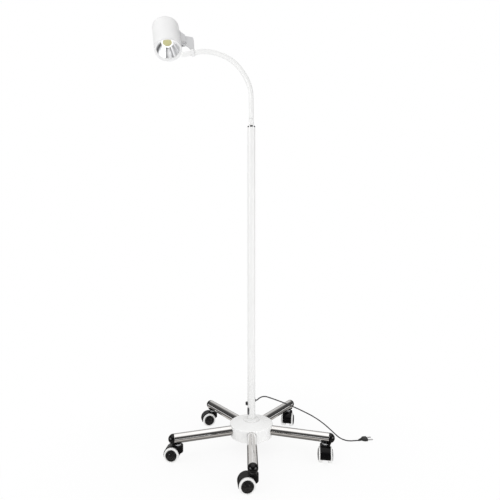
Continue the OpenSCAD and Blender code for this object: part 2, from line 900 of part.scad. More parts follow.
module front_ring() {
  inner_r = reflector_d / 2 + 0.1;
  skirt_r = head_r - head_wall - fine;
  skirt_t = 1.2;
  seat_z = 8.3;
  skirt_z = 14;
  profile = [
    [head_r, 0.7], [head_r - 0.7, 0], [head_r - 1.4, 0.2],
    [inner_r + 0.4, seat_z - 1.5], [inner_r, seat_z - 1], [inner_r, seat_z],
    [skirt_r - skirt_t, seat_z], [skirt_r - skirt_t, skirt_z], [skirt_r, skirt_z],
    [skirt_r, ring_h], [head_r, ring_h]
  ];
  color(LIGHT_GREY) head_frame() rotate_extrude() polygon(profile);
}

// ---- assembly ----

hub_cover();
hub_core();
hub_base_plate();
hub_screws();
leg(0);  // leg_front
leg(1);  // leg_right_front
leg(2);  // leg_right_rear
leg(3);  // leg_left_rear
leg(4);  // leg_left_front
leg_caps();
castor_stems();
castor_washers();
castor_hood(0);  // castor_1_hood
castor_axle(0);  // castor_1_axle
castor_wheel(0, 1);  // castor_1_wheel_a
castor_wheel(0, -1);  // castor_1_wheel_b
castor_hood(1);  // castor_2_hood
castor_axle(1);  // castor_2_axle
castor_wheel(1, 1);  // castor_2_wheel_a
castor_wheel(1, -1);  // castor_2_wheel_b
castor_hood(2);  // castor_3_hood
castor_axle(2);  // castor_3_axle
castor_wheel(2, 1);  // castor_3_wheel_a
castor_wheel(2, -1);  // castor_3_wheel_b
castor_hood(3);  // castor_4_hood
castor_axle(3);  // castor_4_axle
castor_wheel(3, 1);  // castor_4_wheel_a
castor_wheel(3, -1);  // castor_4_wheel_b
castor_hood(4);  // castor_5_hood
castor_axle(4);  // castor_5_axle
castor_wheel(4, 1);  // castor_5_wheel_a
castor_wheel(4, -1);  // castor_5_wheel_b
pole();
pole_flange();
pole_top_bush();
neck_lock_nut();
dimmer_knob();
dimmer_control();
switch_frame();
switch_rocker();
cord_grommet();
mains_cord();
mains_plug();
neck_base();
neck_link(1);  // neck_link_1
neck_link(2);  // neck_link_2
neck_link(3);  // neck_link_3
neck_link(4);  // neck_link_4
neck_link(5);  // neck_link_5
neck_end_tube();
lamp_bracket();
pivot_screw();
lamp_housing();
rear_cover();
heat_sink();
led_holder();
led_module();
reflector();
front_ring();
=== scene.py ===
"""Looks of a mobile examination lamp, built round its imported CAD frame. Metres, the frame's own axes."""

import json
import math

import bmesh
import bpy
from mathutils import Matrix, Vector


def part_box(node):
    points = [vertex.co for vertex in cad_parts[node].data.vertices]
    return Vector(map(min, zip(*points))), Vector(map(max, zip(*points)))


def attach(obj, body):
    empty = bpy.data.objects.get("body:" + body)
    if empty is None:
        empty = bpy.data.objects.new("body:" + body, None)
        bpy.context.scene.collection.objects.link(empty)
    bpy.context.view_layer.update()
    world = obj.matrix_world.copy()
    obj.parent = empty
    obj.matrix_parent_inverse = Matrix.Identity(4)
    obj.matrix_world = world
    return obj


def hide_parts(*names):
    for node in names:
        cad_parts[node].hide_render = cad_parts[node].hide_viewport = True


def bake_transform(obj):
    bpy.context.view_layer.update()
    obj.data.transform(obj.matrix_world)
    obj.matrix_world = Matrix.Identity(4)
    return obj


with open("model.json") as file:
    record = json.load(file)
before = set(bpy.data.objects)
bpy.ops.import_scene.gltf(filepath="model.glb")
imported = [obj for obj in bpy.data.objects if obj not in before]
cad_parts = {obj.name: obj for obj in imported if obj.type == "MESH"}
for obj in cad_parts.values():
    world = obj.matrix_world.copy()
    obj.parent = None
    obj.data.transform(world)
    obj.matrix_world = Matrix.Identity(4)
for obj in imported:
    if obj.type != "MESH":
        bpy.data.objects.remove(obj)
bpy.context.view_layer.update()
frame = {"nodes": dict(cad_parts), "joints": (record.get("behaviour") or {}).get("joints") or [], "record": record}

MM = 0.001
joints = {j["name"]: j for j in frame["joints"]}
FLOOR_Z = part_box("castor_1_wheel_a")[0].z
CASTORS = range(1, 6)

# driving dimensions shared with the CAD, in millimetres
SLEEVE_R = 8.5
END_TUBE_L = 19.5  # from the end of the hose to the collar's centre
HEAD_OFFSET = 86.3  # collar's centre to the head's axis, along the end tube
HEAD_DROP = 31.0  # collar's centre to the lamp's front, along the head's axis
CORD_R = 2.1
PLUG_L = 34.0
PLUG_PIN_L = 19.0
CORD_HEADING = math.radians(8.2)  # from +X towards +Y

# the photograph's viewpoint in metres, looking level along +Y, and its lens in millimetres
EYE = (-0.00484, -1.4875, 0.6604)
LENS = 29.9


# ---------------------------------------------------------------- materials


class Look:
    """One node material: builds small node chains and ends in a Principled shader."""

    def __init__(self, name):
        self.mat = bpy.data.materials.new(name)
        self.mat.use_nodes = True
        self.nodes = self.mat.node_tree.nodes
        self.links = self.mat.node_tree.links
        self.bsdf = self.nodes["Principled BSDF"]
        self.coord = self.nodes.new("ShaderNodeTexCoord").outputs["Object"]

    def put(self, socket, value):
        """Sets an input to a number, a colour or another node's output."""
        if hasattr(value, "links"):
            self.links.new(value, socket)
        elif isinstance(value, (tuple, list)) and len(value) == 3 and socket.type == "RGBA":
            socket.default_value = (*value, 1.0)
        else:
            socket.default_value = value

    def node(self, kind, out=0, **inputs):
        n = self.nodes.new(kind)
        for key, value in inputs.items():
            if key.startswith("set_"):
                setattr(n, key[4:], value)
        for key, value in inputs.items():
            if key.startswith("set_"):
                continue
            key = int(key[3:]) if key.startswith("in_") else key.replace("_", " ")
            self.put(n.inputs[key], value)
        return n.outputs[out]

    def scaled(self, stretch):
        return self.node("ShaderNodeMapping", Vector=self.coord, Scale=stretch)

    def noise(self, scale, detail=3.0, rough=0.55, stretch=(1, 1, 1)):
        where = self.scaled(stretch)
        return self.node("ShaderNodeTexNoise", Vector=where, Scale=scale, Detail=detail, Roughness=rough)

    def remap(self, value, low, high, to_low=0.0, to_high=1.0):
        return self.node("ShaderNodeMapRange", in_0=value, in_1=low, in_2=high, in_3=to_low, in_4=to_high)

    def math(self, op, a, b=0.0):
        return self.node("ShaderNodeMath", set_operation=op, in_0=a, in_1=b)

    def mix(self, factor, a, b, kind="MIX"):
        return self.node(
            "ShaderNodeMix", 2, set_data_type="RGBA", set_blend_type=kind, in_0=factor, in_6=a, in_7=b
        )

    def edge(self, radius, low=0.90, high=0.995):
        """1 on sharp convex or concave edges, 0 on flat areas."""
        soft = self.node("ShaderNodeBevel", set_samples=4, Radius=radius)
        true = self.node("ShaderNodeNewGeometry", 1)
        likeness = self.node("ShaderNodeVectorMath", 1, set_operation="DOT_PRODUCT", in_0=soft, in_1=true)
        return self.remap(likeness, low, high, 1.0, 0.0)

    def crevice(self, distance):
        """1 deep in corners and gaps, 0 in the open."""
        ao = self.node("ShaderNodeAmbientOcclusion", 1, set_samples=4, Distance=distance)
        return self.remap(ao, 0.35, 0.95, 1.0, 0.0)

    def bump(self, height, distance, strength=1.0, soft_edges=0.0):
        normal = {}
        if soft_edges:
            normal["Normal"] = self.node("ShaderNodeBevel", set_samples=4, Radius=soft_edges)
        self.put(
            self.bsdf.inputs["Normal"],
            self.node("ShaderNodeBump", Height=height, Distance=distance, Strength=strength, **normal),
        )

    def from_point(self, centre):
        where = tuple(centre)
        return self.node("ShaderNodeVectorMath", set_operation="SUBTRACT", in_0=self.coord, in_1=where)

    def length(self, vector):
        return self.node("ShaderNodeVectorMath", 1, set_operation="LENGTH", in_0=vector)

    def along(self, vector, axis):
        way = tuple(axis)
        return self.node("ShaderNodeVectorMath", 1, set_operation="DOT_PRODUCT", in_0=vector, in_1=way)

    def off_axis(self, centre, axis):
        """Distance from the line through centre along a unit axis."""
        local = self.from_point(centre)
        return self.length(
            self.node("ShaderNodeVectorMath", set_operation="CROSS_PRODUCT", in_0=local, in_1=tuple(axis))
        )

    def worn_edge(self):
        """Patchy wear along sharp edges."""
        return self.math("MULTIPLY", self.edge(0.7 * MM), self.remap(self.noise(160, 3), 0.45, 0.65))

    def finish(self, colour, rough, metal=0.0, **others):
        self.put(self.bsdf.inputs["Base Color"], colour)
        self.put(self.bsdf.inputs["Roughness"], rough)
        self.put(self.bsdf.inputs["Metallic"], metal)
        for key, value in others.items():
            self.put(self.bsdf.inputs[key.replace("_", " ")], value)
        return self.mat


def ramp_stops(ramp, stops, tint=(1, 1, 1)):
    """Fills a colour ramp with grey levels, slightly tinted."""
    while len(ramp.elements) < len(stops):
        ramp.elements.new(0.5)
    for element, (at, level) in zip(ramp.elements, stops):
        element.position = at
    for element, (at, level) in zip(ramp.elements, stops):
        element.color = (level * tint[0], level * tint[1], level * tint[2], 1)


def shade(colour, factor):
    return tuple(min(1.0, c * factor) for c in colour)


def coated(name, colour, rough=0.42, grain=0.00002, corner_shade=0.10, edge_tone=0.80):
    """Powder coat: orange-peel grain, faint blotches, painted shade in corners and gaps, and slightly worn edges.
    """
    m = Look(name)
    blotch = m.remap(m.noise(14, 4), 0.3, 0.7)
    fine = m.remap(m.noise(900, 2), 0.35, 0.65)
    base = m.mix(blotch, shade(colour, 0.965), colour)
    base = m.mix(m.math("MULTIPLY", fine, 0.25), base, shade(colour, 0.955))
    # painted shade: corners and gaps are darkened towards 42 % of the colour
    base = m.mix(m.math("MULTIPLY", m.crevice(7 * MM), corner_shade * 2.2), base, shade(colour, 0.42))
    base = m.mix(m.math("MULTIPLY", m.worn_edge(), 0.55), base, shade(colour, edge_tone))
    m.bump(m.noise(1500, 2, 0.5), grain, soft_edges=0.5 * MM)
    sheen = m.remap(m.noise(40, 3), 0.3, 0.7, rough - 0.05, rough + 0.06)
    return m.finish(base, sheen, Coat_Weight=0.12, Coat_Roughness=0.25)


def moulded(
    name, colour, rough, grain=0.00003, coat=0.0, scuff=0.5, cloudy=0.18, rub=0.05, shine=0.5, **others
):
    """Moulded plastic: fine spark-eroded grain, dull scuffs, lighter rubbed edges."""
    m = Look(name)
    cloud = m.remap(m.noise(60, 4), 0.35, 0.65)
    base = m.mix(cloud, shade(colour, 1 - cloudy), shade(colour, 1 + cloudy / 2))
    rubbed = m.math("MULTIPLY", m.edge(0.6 * MM), m.remap(m.noise(260, 3), 0.4, 0.65))
    base = m.mix(m.math("MULTIPLY", rubbed, scuff), base, tuple(min(1.0, c + rub) for c in colour))
    scratch = m.remap(m.noise(420, 5, 0.7, (1.0, 1.0, 0.12)), 0.62, 0.75)
    r = m.math("ADD", m.remap(cloud, 0, 1, rough - 0.03, rough + 0.05), m.math("MULTIPLY", scratch, 0.12))
    m.bump(m.noise(1300, 2), grain, soft_edges=0.4 * MM)
    return m.finish(base, r, Coat_Weight=coat, Coat_Roughness=0.08, Specular_IOR_Level=shine, **others)


def metal(name, colour, rough, depth=0.000006):
    """Bare or plated metal: fine mottling, faint stains, brighter edges."""
    m = Look(name)
    lines = m.noise(500, 4, 0.6)
    stain = m.remap(m.noise(35, 4), 0.35, 0.7)
    base = m.mix(stain, colour, shade(colour, 0.9))
    base = m.mix(m.math("MULTIPLY", m.remap(lines, 0.35, 0.65), 0.25), base, shade(colour, 0.82))
    base = m.mix(m.math("MULTIPLY", m.edge(0.4 * MM), 0.3), base, shade(colour, 1.15))
    r = m.math("ADD", m.remap(lines, 0.3, 0.7, rough - 0.03, rough + 0.04), m.math("MULTIPLY", stain, 0.05))
    m.bump(lines, depth, soft_edges=0.4 * MM)
    return m.finish(base, r, 1.0)


def tube_steel(name, heading, rim_from):
    """Polished tube: fine lines running along it, and a painted dark reflection where it turns away from the eye
    past rim_from.
    """
    m = Look(name)
    turn = m.node("ShaderNodeMapping", Vector=m.coord, Rotation=(0, 0, -heading))
    along = m.node("ShaderNodeMapping", Vector=turn, Scale=(0.03, 1.0, 1.0))
    lines = m.node("ShaderNodeTexNoise", Vector=along, Scale=420.0, Detail=4.0, Roughness=0.6)
    smear = m.remap(m.noise(22, 4), 0.4, 0.72)
    base = m.mix(m.remap(lines, 0.35, 0.65), (0.95, 0.945, 0.94), (0.88, 0.872, 0.865))
    base = m.mix(m.math("MULTIPLY", smear, 0.3), base, (0.76, 0.748, 0.735))
    # painted reflection: the tube darkens towards its edges as it turns away from the eye
    away = m.node("ShaderNodeLayerWeight", "Facing", Blend=0.5)
    base = m.mix(m.remap(away, rim_from, rim_from + 0.2, 0.0, 0.85), base, (0.10, 0.10, 0.10))
    m.bump(lines, 0.0000015, soft_edges=0.3 * MM)
    return m.finish(base, m.remap(smear, 0, 1, 0.06, 0.11), 1.0)


LOOKS = {
    "white_coat": coated("white_powder_coat", (0.86, 0.86, 0.855)),
    "white_head": coated("white_matte_coat", (0.87, 0.87, 0.87), rough=0.5),
    "white_sleeve": moulded(
        "white_sleeve", (0.86, 0.86, 0.855), 0.42, grain=0.000002, scuff=0.0, cloudy=0.015
    ),
    "iron": coated("cast_iron_paint", (0.10, 0.105, 0.11), rough=0.6, grain=0.0001, edge_tone=2.0),
    "plated_steel": metal("zinc_plate", (0.62, 0.62, 0.63), 0.32),
    "black_cap": moulded(
        "gloss_black", (0.002, 0.002, 0.0022), 0.14, grain=0.000004, scuff=0.2, rub=0.01, shine=0.35
    ),
    "grey_washer": coated("washer_grey", (0.62, 0.63, 0.64), rough=0.35, edge_tone=1.2),
    "black_castor": moulded(
        "satin_black", (0.003, 0.003, 0.0034), 0.25, grain=0.00001, rub=0.015, shine=0.17
    ),
    "white_tread": moulded("tread_white", (0.86, 0.86, 0.85), 0.5, grain=0.00004, scuff=0.0, cloudy=0.04),
    "chrome_nut": metal("bright_nut", (0.72, 0.72, 0.73), 0.10, depth=0.000002),
    "black_control": moulded("control_black", (0.014, 0.014, 0.015), 0.42),
    "soft_black": moulded("soft_black", (0.03, 0.03, 0.03), 0.55),
    "cord_grey": moulded("cord_sheath", (0.035, 0.035, 0.037), 0.5, grain=0.00002, scuff=0.2),
    "sink_aluminium": metal("cast_aluminium", (0.60, 0.61, 0.62), 0.45, depth=0.00003),
    "satin_ring": coated(
        "satin_ring_coat", (0.88, 0.88, 0.885), rough=0.35, grain=0.000008, corner_shade=0.03, edge_tone=0.9
    ),
}
SLOTS = {s["node"]: s["material_slot"] for s in frame["record"]["subparts"]}
SWITCH_LOOK = moulded("switch_grey", (0.09, 0.09, 0.095), 0.38, scuff=0.3)
DISC_LOOK = moulded("disc_black", (0.006, 0.006, 0.0065), 0.22, grain=0.00001, scuff=0.8)
# painted light: the hub cover is a brighter copy of the white coat, standing in for more light falling on it
HUB_PAINTED_LIGHT_LOOK = coated("hub_white_coat_painted_light", (0.95, 0.95, 0.945), grain=0.00001, corner_shade=0.06)
# where each leg's painted dark reflection starts towards its edges: 0 faces the eye, 1 turns away
LEG_PAINTED_RIM = {
    "leg_front": 0.74,
    "leg_right_front": 0.48,
    "leg_right_rear": 0.62,
    "leg_left_rear": 0.62,
    "leg_left_front": 0.48,
}


def wear(obj, look):
    obj.data.materials.clear()
    obj.data.materials.append(look)


# ---------------------------------------------------------------- mesh helpers


def smooth(obj, angle=32):
    obj.data.polygons.foreach_set("use_smooth", [True] * len(obj.data.polygons))
    obj.data.set_sharp_from_angle(angle=math.radians(angle))


def new_piece(name, bm, slot_name, body=None, replaces=(), angle=32, look=None):
    bmesh.ops.recalc_face_normals(bm, faces=bm.faces)
    mesh = bpy.data.meshes.new(name)
    bm.to_mesh(mesh)
    bm.free()
    obj = bpy.data.objects.new(name, mesh)
    bpy.context.scene.collection.objects.link(obj)
    wear(obj, look or LOOKS[slot_name])
    smooth(obj, angle)
    if body:
        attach(obj, body)
    if replaces:
        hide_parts(*replaces)
    return obj


def axis_frame(origin, z_axis, x_hint=(1, 0, 0)):
    """Matrix whose +Z runs along z_axis and whose +X is as near x_hint as it can be."""
    z = Vector(z_axis).normalized()
    x = Vector(x_hint)
    x = (x - z * x.dot(z)).normalized()
    return Matrix.Translation(Vector(origin)) @ Matrix((x, z.cross(x), z)).transposed().to_4x4()


def rounded(points, radii, steps=5):
    """Closed outline with each corner replaced by an arc of its own radius (millimetres)."""
    out = []
    n = len(points)
    for i, p in enumerate(points):
        r = radii[i] if isinstance(radii, (list, tuple)) else radii
        p = Vector(p)
        a = Vector(points[i - 1]) - p
        b = Vector(points[(i + 1) % n]) - p
        if r <= 0 or a.length < 1e-9 or b.length < 1e-9:
            out.append(tuple(p))
            continue
        angle = a.angle(b)
        reach = min(r / math.tan(angle / 2), a.length * 0.48, b.length * 0.48)
        r = reach * math.tan(angle / 2)
        centre = p + (a.normalized() + b.normalized()).normalized() * (r / math.sin(angle / 2))
        start, end = p + a.normalized() * reach - centre, p + b.normalized() * reach - centre
        sweep = start.angle_signed(end) if start.length > 1e-9 else 0.0
        for k in range(steps + 1):
            t = -sweep * k / steps
            c, s = math.cos(t), math.sin(t)
            out.append((centre.x + start.x * c - start.y * s, centre.y + start.x * s + start.y * c))
    return out


def circle(bm, matrix, r, z, segments):
    """Vertices of a circle of radius r at height z (millimetres) round the matrix's +Z."""
    turns = (2 * math.pi * k / segments for k in range(segments))
    return [bm.verts.new(matrix @ (Vector((r * math.cos(a), r * math.sin(a), z)) * MM)) for a in turns]


def skin(bm, rings):
    """Faces between neighbouring rings of equally many vertices."""
    for a, b in zip(rings, rings[1:]):
        for k in range(len(a)):
            j = (k + 1) % len(a)
            bm.faces.new((a[k], b[k], b[j], a[j]))


def revolve(bm, profile, matrix, segments=96, closed=True):
    """Adds the surface of a profile (r, z in millimetres) turned about the matrix's +Z."""
    rings = []
    for r, z in profile:
        if r < 1e-6:
            rings.append([bm.verts.new(matrix @ Vector((0, 0, z * MM)))])
        else:
            rings.append(circle(bm, matrix, r, z, segments))
    if closed:
        rings.append(rings[0])
    for a, b in zip(rings, rings[1:]):
        if len(a) == len(b) > 1:
            skin(bm, [a, b])
            continue
        for k in range(segments):
            j = (k + 1) % segments
            if len(b) > 1:
                bm.faces.new((a[0], b[k], b[j]))
            elif len(a) > 1:
                bm.faces.new((a[k], b[0], a[j]))


def tube(bm, points, radius, segments, up=(0, 1, 0)):
    """Adds a round bar with closed ends through points (metres), its radius in millimetres."""
    rings = []
    for i, p in enumerate(points):
        ahead = points[min(i + 1, len(points) - 1)]
        behind = points[max(i - 1, 0)]
        rings.append(circle(bm, axis_frame(p, ahead - behind, up), radius, 0, segments))
    skin(bm, rings)
    bm.faces.new(rings[0])
    bm.faces.new(rings[-1])


# ---------------------------------------------------------------- carried-over CAD nodes

for node_name, obj in frame["nodes"].items():
    slot_name = SLOTS[node_name]
    if slot_name in LOOKS:
        wear(obj, LOOKS[slot_name])
    smooth(obj)
for switch_part in ("switch_frame", "switch_rocker"):
    wear(frame["nodes"][switch_part], SWITCH_LOOK)
wear(frame["nodes"]["hub_cover"], HUB_PAINTED_LIGHT_LOOK)
for leg_name, rim_from in LEG_PAINTED_RIM.items():
    low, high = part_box(leg_name)
    mid = (low + high) / 2
    wear(frame["nodes"][leg_name], tube_steel(leg_name + "_steel", math.atan2(mid.y, mid.x), rim_from))


def soften(obj, voxel, rounds):
    """Rounds a hard-edged CAD node: even remesh, then a few smoothing passes."""
    grid = obj.modifiers.new("even", "REMESH")
    grid.mode = "VOXEL"
    grid.voxel_size = voxel
    grid.use_smooth_shade = True
    ease = obj.modifiers.new("ease", "SMOOTH")
    ease.factor = 0.5
    ease.iterations = rounds


for castor in CASTORS:
    soften(frame["nodes"][f"castor_{castor}_hood"], 0.7 * MM, 5)


# ---------------------------------------------------------------- castor wheels

# sunk pockets of the wheel's face: spacing and rib in degrees, ring and depth in millimetres
POCKET_STEP = 60.0
POCKET_RIB = 8.0
POCKET_RING = (10.4, 14.4)
POCKET_DEPTH = 0.9
FACE_Z = 20  # everything beyond it belongs to the wheel's outer face


def wheel_pieces(k, side):
    """Pale tread ring and black centre disc of one castor wheel."""
    tag = "ab"[side < 0]
    joint = joints[f"castor_{k}_wheel_{tag}_spin"]
    body = f"castor_{k}_wheel_{tag}"
    m = axis_frame(joint["pos_m"], Vector(joint["axis"]) * side, (0, 0, 1))
    tread = rounded(
        [(18.6, 8.6), (24.3, 8.6), (25, 10), (25, 22.4), (18.6, 22.4)],
        [0.6, 0.8, 0.8, 2.6, 0.3],
    )
    bm = bmesh.new()
    revolve(bm, tread, m, 96)
    new_piece(f"{body}_tread", bm, "white_tread", body, [body])
    inner = [(0, 20.3), (3.05, 20.3), (3.05, 8.7), (18.5, 8.7)]
    rim = [(18.5, 22.2), (18.9, 22.6), (18.9, 23.5), (18.3, 24.1), (16.9, 24.5), (16.5, 24.1), (16.1, 24.1)]
    face = [(15.7, 24.6), (14.6, 24.8), (14.2, 24.8), (10.6, 25.2), (10.2, 25.2)]
    cap = [(9.0, 25.3), (8.6, 24.9), (8.0, 24.9), (7.6, 25.3), (5.0, 25.7), (2.5, 25.9), (0, 25.95)]
    bm = bmesh.new()
    revolve(bm, inner + rim + face + cap, m, 96, closed=False)
    away = m.inverted()
    for v in bm.verts:
        p = away @ v.co
        r = math.hypot(p.x, p.y) / MM
        turn = math.degrees(math.atan2(p.y, p.x)) % POCKET_STEP
        in_ring = POCKET_RING[0] < r < POCKET_RING[1] and p.z > FACE_Z * MM
        if in_ring and POCKET_RIB < turn < POCKET_STEP - POCKET_RIB:
            v.co = m @ (p - Vector((0, 0, POCKET_DEPTH * MM)))
    new_piece(f"{body}_disc", bm, "black_castor", body, [body], angle=40, look=DISC_LOOK)


for castor in CASTORS:
    for wheel_side in (1, -1):
        wheel_pieces(castor, wheel_side)


# ---------------------------------------------------------------- neck

PATH_STEP = 2 * MM
FOOT_RUN = 22 * MM  # hose below the first bend, inside the ferrule
TIP_RUN = 8 * MM  # hose inside the end fitting
bends = [Vector(joints[f"neck_bend_{i}"]["pos_m"]) for i in range(1, 7)]


def neck_path():
    """Points along the neck's centre line, from the ferrule to the end tube's straight part."""
    headings = [0.0]
    for a, b in zip(bends, bends[1:]):
        chord = b - a
        headings.append(2 * math.atan2(-chord.x, chord.z) - headings[-1])
    tip = Vector(joints["bracket_swivel"]["pos_m"])
    back = Vector(joints["bracket_swivel"]["axis"])
    end = tip + back * END_TUBE_L * MM
    last = end - bends[-1]
    headings.append(2 * math.atan2(-last.x, last.z) - headings[-1])
    low = bends[0] - Vector((0, 0, FOOT_RUN))
    foot_steps = round(FOOT_RUN / PATH_STEP)
    points = [low.lerp(bends[0], k / foot_steps) for k in range(foot_steps)]
    stations = bends + [end]
    for i, (a, b) in enumerate(zip(stations, stations[1:])):
        turn = headings[i + 1] - headings[i]
        chord = (b - a).length
        steps = max(6, round(chord / PATH_STEP))
        length = chord if abs(turn) < 1e-5 else chord * (turn / 2) / math.sin(turn / 2)
        p = a.copy()
        for k in range(steps):
            points.append(p.copy())
            h = headings[i] + turn * (k + 0.5) / steps
            p += Vector((-math.sin(h), 0, math.cos(h))) * length / steps
    return points + [end, end - back * TIP_RUN]


def neck_sleeves():
    """Hose in six lengths that meet half way between the joints, each blended across its own joint."""
    path = neck_path()
    marks = [0]
    for a, b in zip(bends, bends[1:]):
        middle = (a + b) / 2
        marks.append(min(range(len(path)), key=lambda q: (path[q] - middle).length))
    marks.append(len(path) - 1)
    for i, bend in enumerate(bends):
        section = path[marks[i] : marks[i + 1] + 1]
        bm = bmesh.new()
        tube(bm, section, SLEEVE_R, 40)
        piece = new_piece(
            f"neck_sleeve_{i + 1}", bm, "white_sleeve", None, [f"neck_link_{min(i + 1, 5)}"]
        )
        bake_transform(piece)


def neck_ferrule():
    """Ribbed collar over the lock nut at the foot of the hose."""
    outline = [(4, 0.05), (8.6, 0.05), (9.3, 0.7)]
    groove = [(9.35, -2.2), (9.2, -1.5), (8.35, -0.75), (8.2, 0), (8.35, 0.75), (9.2, 1.5), (9.35, 2.2)]
    for rib in range(3):
        outline += [(r, z + 7.0 * (rib + 0.55)) for r, z in groove]
    outline += [(9.35, 23.4), (9.0, 24.6), (8.55, 25.0), (4, 25.0)]
    bm = bmesh.new()
    revolve(bm, outline, Matrix.Translation((0, 0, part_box("neck_lock_nut")[1].z)), 64)
    new_piece("neck_ferrule", bm, "white_sleeve", "base", ["neck_base"], angle=50)


swivel = joints["bracket_swivel"]


def neck_end_fitting():
    """Ring before the bracket's collar and a stub after it."""
    ring = [(6.5, -11.5), (9.8, -11.5), (9.8, -5.8), (7.55, -5.8)]
    stub = [(7.55, 5.8), (8.4, 5.8), (8.4, 40.2), (7.6, 41), (6.5, 41)]
    outline = rounded(ring + stub, [0, 0.8, 0.8, 0, 0, 0.6, 0.8, 0.6, 0])
    bm = bmesh.new()
    revolve(bm, outline, axis_frame(swivel["pos_m"], -Vector(swivel["axis"]), (0, 1, 0)), 64)
    new_piece("neck_end_fitting", bm, "white_sleeve", "neck_end", ["neck_end_tube"])


neck_sleeves()
neck_ferrule()
neck_end_fitting()


# ---------------------------------------------------------------- head


def head_matrix():
    """Frame at the centre of the lamp's front, +Z towards the rear, +X towards the bracket."""
    back_dir = Vector(swivel["axis"])
    side_dir = Vector(joints["head_tilt"]["axis"])
    rear_dir = back_dir.cross(side_dir)
    centre = Vector(swivel["pos_m"]) - back_dir * HEAD_OFFSET * MM + rear_dir * HEAD_DROP * MM
    return Matrix.Translation(centre) @ Matrix((back_dir, side_dir, rear_dir)).transposed().to_4x4()


HEAD = head_matrix()
HEAD_X, HEAD_Y, HEAD_Z = (HEAD.to_3x3() @ Vector(v) for v in ((1, 0, 0), (0, 1, 0), (0, 0, 1)))


def front_ring():
    """Satin funnel inside the head's rim."""
    mouth = [(49.3, 3.4), (49.3, 0.0), (47.9, 0.0), (41.8, 6.6), (41.7, 8.3)]
    neck = [(46.1, 8.3), (46.1, 14), (47.25, 14), (47.25, 3.4)]
    bm = bmesh.new()
    revolve(bm, rounded(mouth + neck, [0.15, 0.7, 0.5, 0.5, 0.1, 0.2, 0.2, 0.2, 0.1]), HEAD, 128)
    new_piece("front_ring_funnel", bm, "satin_ring", "head", ["front_ring"])


# the bowl's painted reflection streaks: angle round the head's axis in degrees, grey level
PAINTED_REFLECTION_STREAKS = (
    (-180, 0.08), (-166, 0.1), (-152, 0.5), (-142, 1.0), (-40, 1.0), (-20, 0.75), (-5, 0.5), (10, 0.35),
    (25, 0.45), (38, 0.25), (48, 0.45), (58, 0.72), (66, 0.66), (73, 0.25), (80, 0.15), (87, 0.45),
    (98, 0.55), (107, 0.3), (114, 0.15), (121, 0.9), (128, 1.0), (152, 1.0), (160, 0.6), (167, 0.25),
    (174, 0.12), (180, 0.08),
)


def mirror_look():
    """Mirror-bright bowl with painted light and dark reflection streaks by angle and a faint painted glow."""
    m = Look("mirror_bowl")
    haze = m.remap(m.noise(60, 3), 0.35, 0.7)
    local = m.from_point(HEAD.translation)
    around = m.math("ARCTAN2", m.along(local, HEAD_Y), m.along(local, HEAD_X))
    around = m.math("ADD", around, m.remap(m.noise(45, 2), 0.3, 0.7, -0.05, 0.05))
    streaks = m.node("ShaderNodeValToRGB", Fac=m.remap(around, -math.pi, math.pi))
    ramp_stops(streaks.node.color_ramp, [(degrees / 360 + 0.5, level) for degrees, level in PAINTED_REFLECTION_STREAKS])
    base = m.mix(haze, (0.95, 0.95, 0.96), (0.90, 0.905, 0.92))
    # painted reflection: the streak levels multiply the bowl's colour
    base = m.mix(1.0, base, streaks, "MULTIPLY")
    m.bump(m.noise(700, 2), 0.000002)
    # painted glow: the bowl emits its own colour, though it is no lamp
    return m.finish(base, m.remap(haze, 0, 1, 0.05, 0.12), 1.0, Emission_Color=base, Emission_Strength=0.7)


def reflector_bowl():
    """Bowl of rhombic facets in crossed spirals, closed by a plain back."""
    rows, columns = 24, 72
    z_front, z_back, r_front, r_back = 8.4, 39.9, 41.6, 22.7
    slope = (r_front**2 - r_back**2) / (z_back - z_front)
    half_step = Matrix.Rotation(math.pi / columns, 4, "Z")
    bm = bmesh.new()
    grid = []
    for i in range(rows + 1):
        z = z_front + (z_back - z_front) * (1 - (1 - i / rows) ** 1.25)
        r = math.sqrt(r_back**2 + slope * (z_back - z))
        grid.append(circle(bm, HEAD @ half_step if i % 2 else HEAD, r, z, columns))

    def at(i, k):
        return grid[i][k % columns]

    for i in range(rows - 1):
        for k in range(columns):
            left = k - 1 + (i % 2)
            bm.faces.new((at(i, k), at(i + 1, left), at(i + 2, k), at(i + 1, left + 1)))
    for k in range(columns):
        bm.faces.new((at(0, k), at(0, k + 1), at(1, k)))
        bm.faces.new((at(rows, k), at(rows, k + 1), at(rows - 1, k)))
    outside = ((45.0, 8.4), (45.0, 9.8), (42.6, 10.2), (39.7, 17.0), (34.3, 27.0), (28.6, 35.0), (24.2, 39.9))
    shells = [circle(bm, HEAD, r, z, columns) for r, z in outside]
    skin(bm, [grid[0]] + shells + [grid[rows]])
    obj = new_piece("reflector_bowl", bm, "mirror_bowl", "head", ["reflector"], look=mirror_look())
    obj.data.polygons.foreach_set("use_smooth", [False] * len(obj.data.polygons))


def light_holder():
    """White holder ring with a groove in its face and a faint painted glow."""
    face = [(16.7, 39.5), (18.3, 38.9), (18.6, 39.4), (19.1, 39.4), (19.4, 38.7), (22.1, 39.3)]
    outline = rounded([(16.7, 44.3)] + face + [(22.1, 44.3)], [0.1, 0.6, 0.3, 0.1, 0.1, 0.3, 1.4, 0.1])
    bm = bmesh.new()
    revolve(bm, outline, HEAD, 96)
    look = moulded(
        "holder_white_painted_glow",
        (0.90, 0.90, 0.89),
        0.25,
        grain=0.000005,
        coat=0.3,
        scuff=0.0,
        cloudy=0.02,
        # painted glow: the holder emits light, though it is no lamp
        Emission_Color=(1, 1, 0.98),
        Emission_Strength=0.5,
    )
    new_piece("led_holder_ring", bm, "white_holder", "head", ["led_holder"], look=look)


CHIP_Z = 40  # distance of the light disc's face behind the lamp's front, millimetres


